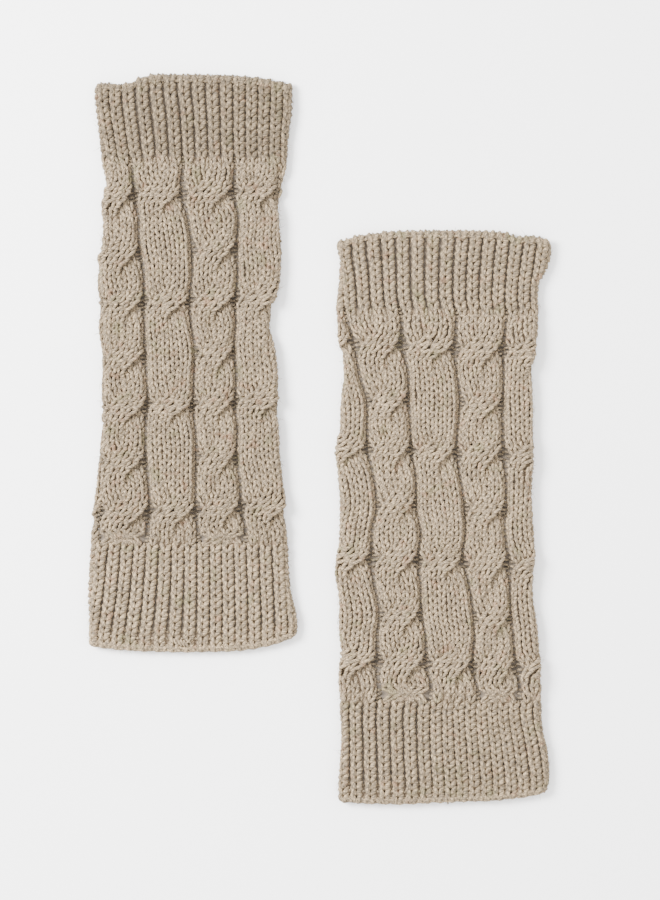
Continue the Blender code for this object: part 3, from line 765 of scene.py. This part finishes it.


# Purl bumps that fill in beside a gutter where a crossing draws its column in, darkened as painted shade
def crossingBumps(warmer):
    fill = {"steps": (-1.3, -0.65, 0.0, 0.65, 1.3), "aside": 0.1, "fall": 0.3, "down": 0.9,
            "tone": -2.8, "half": 2.6}
    sets = []
    for index in range(len(knit["crossingRows"])):
        gutter, side, step = grid(np.arange(columns), (-1.0, 1.0), fill["steps"])
        row, takes = crossingRow(warmer, (gutter + np.minimum(side, 0)) % columns, index)
        column, row = (gutter + fill["aside"] * side)[takes] % columns, (row + step)[takes]
        station = legStation(warmer, row)
        height = columnHeight(column % 1.0, True) - fill["fall"] * step[takes] ** 2
        lift = height * shownShare(warmer, column, station) - yarn["sunk"] - fill["down"]
        sets.append(valleyBumps(warmer, column, station, lift, fill["tone"], fill["half"]))
    return sets


# The purl side of the strands that pass over, so that they lie on the strands below them; darkened a little
# as painted shade beneath the strands above
def strandBacks(warmer):
    back = {"firstRow": 0.3, "rowStep": 0.85, "raised": 0.7, "down": 2.6, "tone": -0.8, "half": 2.3,
            "radius": 1.6}
    rows = np.arange(back["firstRow"], knit["legRows"], back["rowStep"])
    number, slot, row = grid(np.arange(columns), np.arange(wales), rows)
    whole, place, rope, lift = walePlace(warmer, number, slot, row)
    column, station = whole + place, legStation(warmer, row)
    share = shownShare(warmer, column, station)
    raised = lift * share > back["raised"]
    height = (columnHeight(place, rope) + lift * share) * share - yarn["sunk"] - back["down"]
    return [valleyBumps(warmer, column[raised], station[raised], height[raised],
                        back["tone"], back["half"], back["radius"])]


# Knit and purl stitches of the cabled leg, finer where they show. The purl bumps in the valleys are
# darkened: painted shade.
def legStitches(warmer):
    valley = {"up": 1.2, "down": 0.3, "tone": -3.6, "seamUp": 1.0, "seamShadeTone": -1.5,
              "joinUp": 0.7, "joinShadeTone": -1.8}
    number, slot, row = grid(np.arange(columns), np.arange(wales), np.arange(knit["legRows"]))
    whole, place, _, _ = walePlace(warmer, number, slot, row + 0.5)
    front = turnOf(warmer, whole + place, legStation(warmer, row + 0.5)) < knit["frontTurn"] * math.pi
    name = warmer["name"] + "_leg"
    sizes = (yarn["legRadius"], yarn["legOut"], yarn["legIn"])
    fine = stitchLegs(legPath(warmer, number[front], slot[front]), row[front], *sizes, False)
    coarse = stitchLegs(legPath(warmer, number[~front], slot[~front]), row[~front], *sizes, True)
    gutter, row = grid(np.arange(columns), np.arange(knit["legRows"]))
    station = legStation(warmer, row + 0.5)
    cabled = seamShare(row + 0.5)
    height = knit["gutterFloor"] + valley["up"] + valley["seamUp"] * (1 - cabled)
    lift = height * shownShare(warmer, gutter, station) - yarn["sunk"] - valley["down"]
    # painted shade: the purl bumps in the gutters are darkened, less so at the seams
    tone = valley["tone"] * cabled + valley["seamShadeTone"] * (1 - cabled)
    bumps = [valleyBumps(warmer, gutter, station, lift, tone)]
    bumps += crossingBumps(warmer) + strandBacks(warmer)
    # the rows at the seams, where the gutter gives way to a rib's valley, with their bumps darkened as
    # painted shade
    gutter, row = grid(np.arange(columns), (0, 1, knit["legRows"] - 1, knit["legRows"]))
    station = legStation(warmer, row)
    height = knit["ribFloor"] + valley["joinUp"]
    lift = height * shownShare(warmer, gutter, station) - yarn["sunk"]
    bumps.append(valleyBumps(warmer, gutter, station, lift, valley["joinShadeTone"]))
    tone = warmer["tones"][2]
    return [yarnPiece(name + "_front_stitches", fine, legYarn, tone),
            yarnPiece(name + "_back_stitches", coarse + bumps, legYarn, tone)]


# Single ribs of the cuffs: one knit wale, one purl wale
def cuffStitches(warmer, upper):
    valley = {"tone": -3.4, "toneRows": 1.8, "hemUp": 2.0, "hemRows": 2.0, "topHem": 0.5}
    count = knit["topRows"] if upper else knit["bottomRows"]
    rib, row = grid(np.arange(columns * ribsPerColumn), np.arange(count))
    column = (rib + 0.5) / ribsPerColumn
    station = cuffStation(warmer, upper, row + 0.5)
    front = turnOf(warmer, column, station) < knit["frontTurn"] * math.pi
    name = warmer["name"] + ("_top_cuff" if upper else "_bottom_cuff")
    sizes = (yarn["ribRadius"], yarn["ribOut"], yarn["ribIn"])
    sets = stitchLegs(cuffPath(warmer, upper, column[front]), row[front], *sizes, False)
    sets += stitchLegs(cuffPath(warmer, upper, column[~front]), row[~front], *sizes, True)
    # the valleys fill up at the open end, where the painted shade of their purl bumps fades
    toEnd = row if upper else count - 1 - row
    hem = valley["topHem"] if upper else knit["hemRows"]
    height = knit["ribFloor"] + valley["hemUp"] * smooth((hem - toEnd) / valley["hemRows"])
    gutter = rib / ribsPerColumn
    lift = height * shownShare(warmer, gutter, station) - yarn["sunk"]
    # painted shade: a darker tone for the purl bumps in the rib valleys
    tone = valley["tone"] * smooth((toEnd + 1 - hem) / valley["toneRows"])
    sets.append(valleyBumps(warmer, gutter, station, lift, tone))
    return [yarnPiece(name + "_stitches", sets, cuffYarn, warmer["tones"][0 if upper else 1])]


# Bind-off chain at the top, and the cast-on edge at the bottom
def rims(warmer):
    pieces = []
    for upper, end in ((True, "top"), (False, "bottom")):
        name = warmer["name"] + "_" + end + "_cuff"
        chain = rim[end]
        rows = np.arange(chain["count"]) + rng.uniform(0, 1)
        sets = stitchLegs(rimPath(warmer, upper, chain), rows, chain["radius"], rim["out"], rim["in"], False)
        pieces.append(yarnPiece(name + "_edge", sets, cuffYarn, warmer["tones"][0 if upper else 1]))
    return pieces


# The joining yarn's last stitches and its cut end, at the hem
def yarnEnds(warmer):
    loose = {"arch": 0.5, "thick": (0.8, 1.0, 1.0, 0.7)}
    ends = np.array(warmer["ends"])
    part = np.linspace(0, 1, len(loose["thick"]))[None, :, None]
    centres = ends[:, None, :3] * (1 - part) + ends[:, None, 3:6] * part
    centres[..., 2] += loose["arch"] * np.sin(math.pi * part[..., 0])
    radii = ends[:, 6:] * np.array(loose["thick"])
    ups = np.array([0.0, 0.0, 1.0]) + 0 * centres
    tubeSet = tubes(centres, ups, radii, yarn["sides"], np.zeros(len(ends)))
    name = warmer["name"]
    return [yarnPiece(name + "_hem_yarn_end", [tubeSet], cuffYarn)]


# Loose fibres that stand off the yarn
def fuzz(warmer):
    fibre = {"count": 4000, "length": 5.0, "lengths": (0.5, 1.3), "bend": 0.35, "radius": 0.11,
             "thick": (1.0, 0.85, 0.4), "sides": 3, "tones": (0.4, 1.0),
             "legShare": 0.68, "topShare": 0.42, "fromRim": 0.1,
             "rise": 1.35, "arch": 0.9, "archTurn": 0.8}
    count, rowStep, asideStep = fibre["count"], yarn["rowStep"], yarn["asideStep"]
    number, slot = rng.integers(0, columns, count), rng.integers(0, wales, count)
    inLeg = rng.uniform(0, 1, count) < fibre["legShare"]
    rows = rng.uniform(0, knit["legRows"], count)[:, None]
    path = legPath(warmer, number, slot)
    points, ahead, right = path(rows), path(rows + rowStep), path(rows, asideStep)
    column = rng.uniform(0, columns, count)
    inTop = rng.uniform(0, 1, count) < fibre["topShare"]
    for upper, total in ((True, knit["topRows"]), (False, knit["bottomRows"])):
        chosen = (~inLeg & (inTop == upper))[:, None, None]
        rows = rng.uniform(fibre["fromRim"], total - fibre["fromRim"], count)[:, None]
        path = cuffPath(warmer, upper, column)
        points = np.where(chosen, path(rows), points)
        ahead = np.where(chosen, path(rows + rowStep), ahead)
        right = np.where(chosen, path(rows, asideStep), right)
    points = points[:, 0]
    across, heading = normalise(right[:, 0] - points), normalise(ahead[:, 0] - points)
    ups = normalise(np.cross(heading, across))
    angle = rng.uniform(0, 2 * math.pi, count)
    flatWay = heading * np.cos(angle)[:, None] + across * np.sin(angle)[:, None]
    length = fibre["length"] * rng.uniform(*fibre["lengths"], count)
    bend = rng.normal(0, fibre["bend"], count)
    steps = np.linspace(0, 1, len(fibre["thick"]))
    rise = fibre["rise"] + fibre["arch"] * np.sin(steps * math.pi * fibre["archTurn"])
    centres = (points[:, None] + ups[:, None] * rise[None, :, None]
               + flatWay[:, None] * (steps[None] * length[:, None])[..., None]
               + np.cross(ups, flatWay)[:, None] * ((bend * length)[:, None] * steps[None] ** 2)[..., None])
    radii = fibre["radius"] * np.array(fibre["thick"])[None] * np.ones((count, 1))
    tones = rng.uniform(*fibre["tones"], count)
    part = tubes(centres, ups[:, None] + 0 * centres, radii, fibre["sides"], tones)
    return [yarnPiece(warmer["name"] + "_fuzz", [part], fuzzYarn)]


for warmer in (leftWarmer, rightWarmer):
    prepare(warmer)
    cloth = clothShell(warmer)
    name = warmer["name"]
    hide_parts(name + "_top_cuff", name + "_leg", name + "_bottom_cuff")
    worked = legStitches(warmer) + cuffStitches(warmer, True) + cuffStitches(warmer, False)
    worked += rims(warmer) + yarnEnds(warmer) + fuzz(warmer)
    print(name, "warmer knitted")

# The pale surface, the lights and the camera straight above. Of a light: name, power, size and place.
stage = {
    "lens": 126.2, "sensor": 36.0, "clip": 0.01, "height": 2.2, "middle": (0.00735, -0.00598),
    "floor": (0.985, 0.985, 0.985), "floorSize": 6.0, "sky": 2.52,
    "lights": (("keyLight", 150.0, 0.8, (-1.3, 0.5, 1.35)), ("fillLight", 10.0, 1.6, (1.2, -0.6, 1.4)))}

bpy.ops.mesh.primitive_plane_add(size=stage["floorSize"], location=(0, 0, 0))
floor = bpy.context.object
floor.name = "floor"
paper, _, paperShader = newMaterial("paper")
paperShader.inputs["Base Color"].default_value = stage["floor"] + (1.0,)
paperShader.inputs["Roughness"].default_value = 1.0
paperShader.inputs["Specular IOR Level"].default_value = 0.0
floor.data.materials.append(paper)

world = bpy.data.worlds.new("studio")
bpy.context.scene.world = world
world.use_nodes = True
sky = world.node_tree.nodes["Background"]
sky.inputs["Color"].default_value = (1.0, 1.0, 1.0, 1.0)
sky.inputs["Strength"].default_value = stage["sky"]

for name, energy, size, (x, y, z) in stage["lights"]:
    lamp = bpy.data.lights.new(name, "AREA")
    lamp.energy = energy
    lamp.size = size
    lampPiece = bpy.data.objects.new(name, lamp)
    lampPiece.location = (x, y, z)
    lampPiece.rotation_euler = (math.atan2(math.hypot(x, y), z), 0.0, math.atan2(x, -y))
    bpy.context.scene.collection.objects.link(lampPiece)
print("stage set")

camera = bpy.data.objects.new("camera", bpy.data.cameras.new("camera"))
camera.data.lens = stage["lens"]
camera.data.sensor_width = stage["sensor"]
camera.data.clip_start = stage["clip"]
camera.location = stage["middle"] + (stage["height"],)
bpy.context.scene.collection.objects.link(camera)
bpy.context.scene.camera = camera
